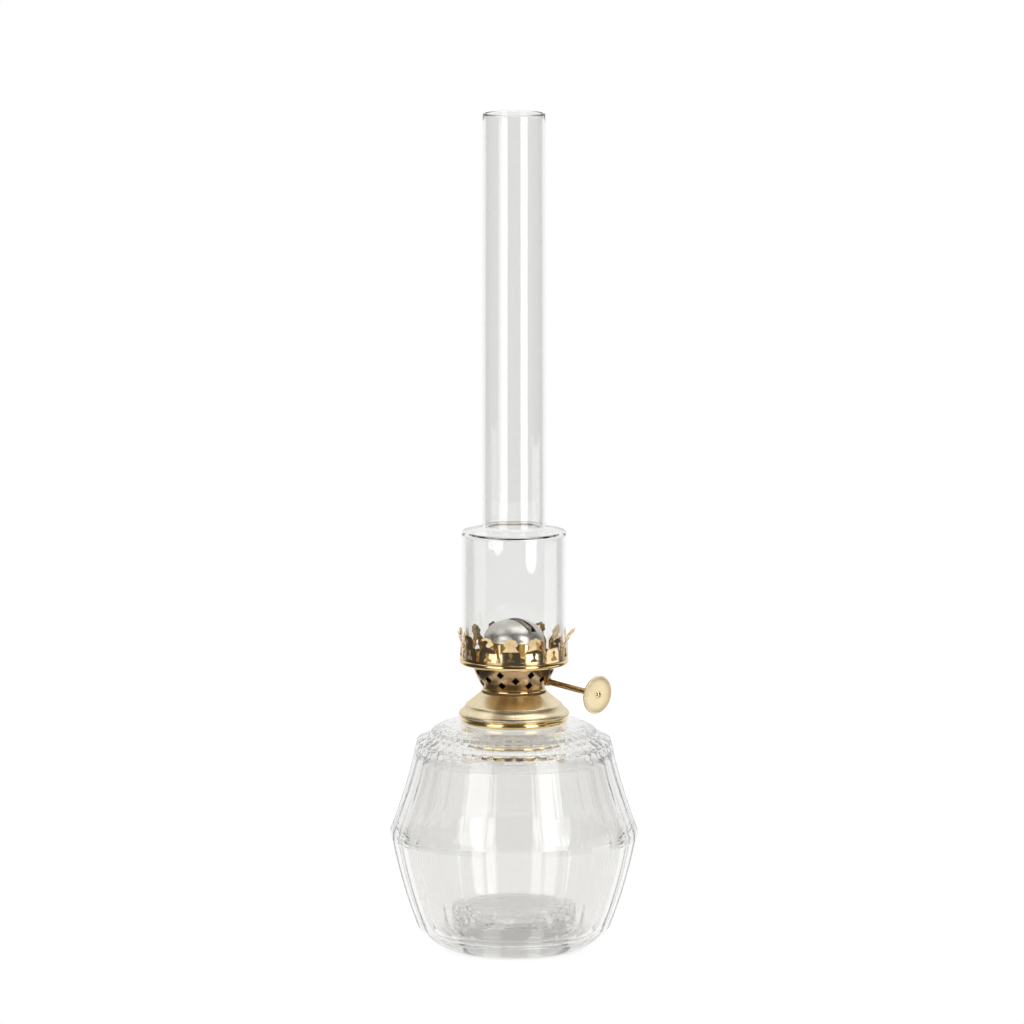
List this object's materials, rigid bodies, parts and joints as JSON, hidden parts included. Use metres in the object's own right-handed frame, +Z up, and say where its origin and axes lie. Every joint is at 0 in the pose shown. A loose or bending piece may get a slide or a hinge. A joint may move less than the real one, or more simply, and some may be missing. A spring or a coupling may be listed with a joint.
{
  "type": "oil lamp",
  "caption": "Table oil lamp: fluted clear glass fount, brass flat-wick burner with pronged gallery and side winder, tall stepped clear glass chimney.",
  "frame": {"origin": "centre of the fount's resting plane, on the lamp's axis", "axes": "+Z up along the fount, burner and chimney; -Y is the front; the winder's knob points to the front right, between -Y and +X"},
  "size_m": [0.1036, 0.1036, 0.3496],
  "materials": {
    "fount_glass": "clear pressed glass, polished, faintly grey",
    "chimney_glass": "clear thin drawn glass, fire-polished rim",
    "polished_brass": "polished and lacquered",
    "satin_brass": "spun, satin, lacquered",
    "dull_brass": "plain, as rolled",
    "nickel": "nickel-plated sheet, bright",
    "steel": "plain",
    "plaster": "matt cast plaster",
    "washer_fibre": "matt dark sealing fibre",
    "wick_cotton": "woven flat cotton"
  },
  "bodies": {
    "fount": {"fount": "fount_glass", "collar": "satin_brass", "plaster_bed": "plaster", "thread_sleeve": "dull_brass"},
    "washer": {"sealing_washer": "washer_fibre"},
    "burner": {"screw_ring": "dull_brass", "waist_bead": "polished_brass", "basket": "polished_brass", "gallery_seat": "polished_brass", "gallery_crown": "polished_brass", "air_screen": "dull_brass", "burner_floor": "dull_brass", "vent_tube": "dull_brass", "wick_tube": "dull_brass", "wheel_case": "dull_brass", "spindle_bush": "polished_brass", "deflector_ring": "polished_brass", "deflector_dome": "nickel"},
    "winder": {"spindle": "polished_brass", "retaining_washer": "steel", "star_wheels": "steel", "knob": "polished_brass", "knob_rivet": "polished_brass"},
    "wick": {"wick": "wick_cotton"},
    "chimney": {"chimney": "chimney_glass"}
  },
  "joints": [
    {"name": "burner_rise", "type": "slide", "parent": "fount", "child": "washer", "axis": [0, 0, 1], "range_m": [0, 0.0038]},
    {"name": "burner_turn", "type": "hinge", "parent": "washer", "child": "burner", "pos_m": [0, 0, 0.108], "axis": [0, 0, 1], "range_deg": [0, 900]},
    {"name": "winder_turn", "type": "hinge", "parent": "burner", "child": "winder", "pos_m": [0.00429, 0.0042, 0.114], "axis": [0.698, -0.7128, -0.068], "range_deg": [-73, 145]},
    {"name": "wick_slide", "type": "slide", "parent": "burner", "child": "wick", "axis": [0, 0, 1], "range_m": [-0.012, 0.006]},
    {"name": "chimney_lift", "type": "slide", "parent": "burner", "child": "chimney", "axis": [0, 0, 1], "range_m": [0, 0.06]}
  ],
  "couplings": [
    {"joint": "burner_rise", "follows": "burner_turn", "m_per_rad": 0.00023873},
    {"joint": "wick_slide", "follows": "winder_turn", "m_per_rad": -0.0047}
  ]
}
